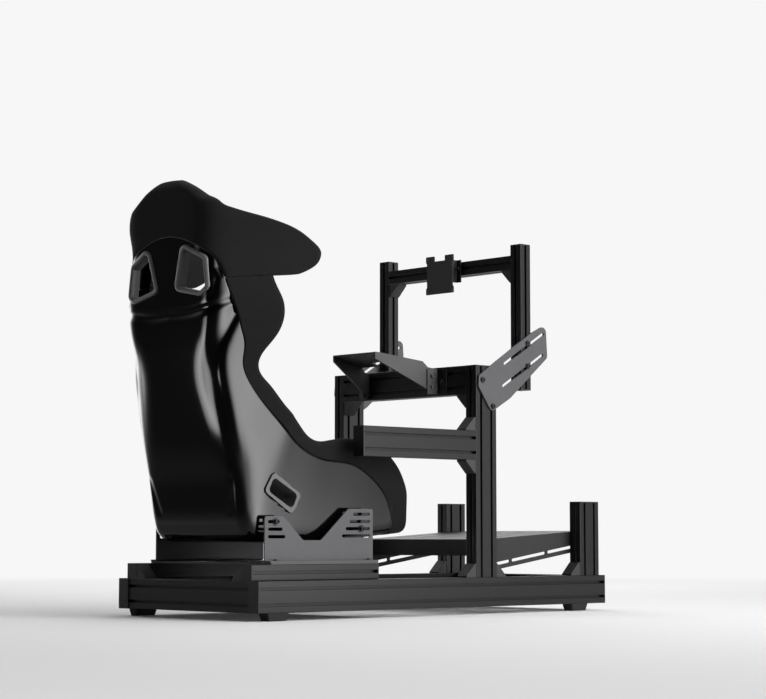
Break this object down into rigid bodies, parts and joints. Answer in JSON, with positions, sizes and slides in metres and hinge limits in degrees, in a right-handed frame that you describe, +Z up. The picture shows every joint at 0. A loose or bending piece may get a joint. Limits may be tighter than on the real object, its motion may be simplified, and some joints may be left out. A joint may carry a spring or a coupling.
{
  "type": "sim racing cockpit",
  "caption": "Sim racing cockpit: black T-slot aluminium frame carrying a winged bucket seat, wheel deck, shifter arm, monitor stand and sloping pedal deck.",
  "frame": {"origin": "centre of the bounding box on the floor", "axes": "+X to the driver's right, +Y forward, the way the driver faces, +Z up"},
  "size_m": [0.592, 1.3784, 1.1326],
  "materials": {
    "black_profile": "black anodised, satin",
    "cast_bracket": "dark grey powder coat",
    "cap_plastic": "black moulded",
    "foot_rubber": "moulded black rubber",
    "grey_sheet": "grey powder coat",
    "black_sheet": "black powder coat",
    "gloss_shell": "gloss black gel coat",
    "upholstery": "black suede-like knit",
    "bezel_plastic": "satin dark grey"
  },
  "bodies": {
    "root": {"base_rail_left": "black_profile", "base_rail_right": "black_profile", "rear_crossbar": "black_profile", "middle_crossbar": "black_profile", "front_crossbar": "black_profile", "seat_riser_left": "black_profile", "seat_riser_right": "black_profile", "upright_left": "black_profile", "upright_right": "black_profile", "wheel_crossbar": "black_profile", "shifter_arm": "black_profile", "monitor_post_left": "black_profile", "monitor_post_right": "black_profile", "monitor_crossbar": "black_profile", "pedal_post_left": "black_profile", "pedal_post_right": "black_profile", "base_corner_brackets": "cast_bracket", "riser_corner_brackets": "cast_bracket", "wheel_corner_brackets": "cast_bracket", "shifter_corner_brackets": "cast_bracket", "monitor_corner_brackets": "cast_bracket", "end_caps": "cap_plastic", "rubber_feet": "foot_rubber", "seat_bracket_left": "grey_sheet", "seat_bracket_right": "grey_sheet", "monitor_plate_left": "grey_sheet", "monitor_plate_right": "grey_sheet", "seat_base_plate": "grey_sheet", "seat_spacers": "black_sheet", "wheel_deck": "black_sheet", "wheel_deck_bracket_left": "black_sheet", "wheel_deck_bracket_right": "black_sheet", "screen_plate": "black_sheet", "screen_bracket": "black_sheet", "pedal_deck": "black_sheet", "seat_shell": "gloss_shell", "headrest_pad": "upholstery", "side_bolster_left": "upholstery", "side_bolster_right": "upholstery", "back_cushion": "upholstery", "seat_cushion": "upholstery", "harness_bezel_left": "bezel_plastic", "harness_bezel_right": "bezel_plastic", "lap_bezel_left": "bezel_plastic", "lap_bezel_right": "bezel_plastic"}
  },
  "joints": []
}
